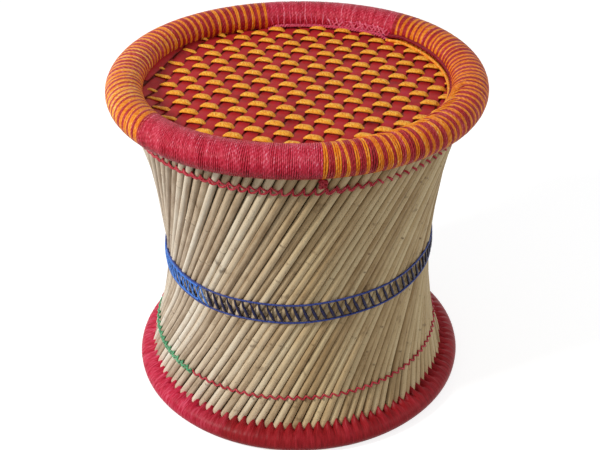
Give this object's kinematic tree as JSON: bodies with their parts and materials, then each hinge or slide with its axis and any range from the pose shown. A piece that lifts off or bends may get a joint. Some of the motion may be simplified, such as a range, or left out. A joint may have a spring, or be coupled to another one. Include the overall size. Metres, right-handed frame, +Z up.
{
  "type": "mudda stool",
  "caption": "Round waisted stool: leaning reed stems between a corded rim with a woven seat and a wrapped ring on the floor.",
  "frame": {"origin": "on the floor, on the stool's axis, in the middle of the base ring", "axes": "+Z up along the stool's axis, -Y towards the front, whose rim is plain crimson, +X to the right of someone facing that front"},
  "size_m": [0.4284, 0.4288, 0.4],
  "materials": {
    "reed": "dry peeled reed, satin, cream to tan with brown nodes and flecks",
    "inner_reed": "dry reed, duller and darker than the outer layer",
    "straw": "rough bundled grass",
    "crimson_cord": "silky twisted cord, wound tight",
    "magenta_cord": "silky twisted cord, wound tight",
    "orange_cord": "silky twisted cord, wound tight",
    "red_strip": "flat strip of red cords laid side by side",
    "orange_strip": "wide band of orange cords, slightly shiny",
    "base_cord": "crimson cord and strip wrap, satin",
    "stitch_cord": "thin twisted cord",
    "blue_cord": "thin twisted cord",
    "green_cord": "thin twisted cord"
  },
  "bodies": {
    "root": {"outer_reeds_01": "reed", "outer_reeds_02": "reed", "outer_reeds_03": "reed", "outer_reeds_04": "reed", "outer_reeds_05": "reed", "outer_reeds_06": "reed", "outer_reeds_07": "reed", "outer_reeds_08": "reed", "outer_reeds_09": "reed", "outer_reeds_10": "reed", "outer_reeds_11": "reed", "outer_reeds_12": "reed", "outer_reeds_13": "reed", "outer_reeds_14": "reed", "outer_reeds_15": "reed", "outer_reeds_16": "reed", "outer_reeds_17": "reed", "outer_reeds_18": "reed", "outer_reeds_19": "reed", "outer_reeds_20": "reed", "outer_reeds_21": "reed", "inner_reeds_01": "inner_reed", "inner_reeds_02": "inner_reed", "inner_reeds_03": "inner_reed", "inner_reeds_04": "inner_reed", "inner_reeds_05": "inner_reed", "inner_reeds_06": "inner_reed", "inner_reeds_07": "inner_reed", "inner_reeds_08": "inner_reed", "inner_reeds_09": "inner_reed", "inner_reeds_10": "inner_reed", "inner_reeds_11": "inner_reed", "inner_reeds_12": "inner_reed", "inner_reeds_13": "inner_reed", "inner_reeds_14": "inner_reed", "inner_reeds_15": "inner_reed", "rim_core": "straw", "rim_wrap_front": "crimson_cord", "rim_wrap_back": "crimson_cord", "rim_cord_right_orange": "orange_cord", "rim_cord_right_magenta": "magenta_cord", "rim_cord_left_orange": "orange_cord", "rim_cord_left_magenta": "magenta_cord", "seat_hoop": "straw", "seat_warp": "red_strip", "seat_weft": "orange_strip", "seat_edge_lacing": "magenta_cord", "base_core": "straw", "base_inner_hoop": "straw", "base_wrap": "base_cord", "waist_cord_upper": "blue_cord", "waist_cord_lower": "blue_cord", "waist_lacing": "blue_cord", "waist_inner_cord": "blue_cord", "stitch_upper": "stitch_cord", "stitch_lower_red": "stitch_cord", "stitch_lower_green": "green_cord"}
  },
  "joints": []
}
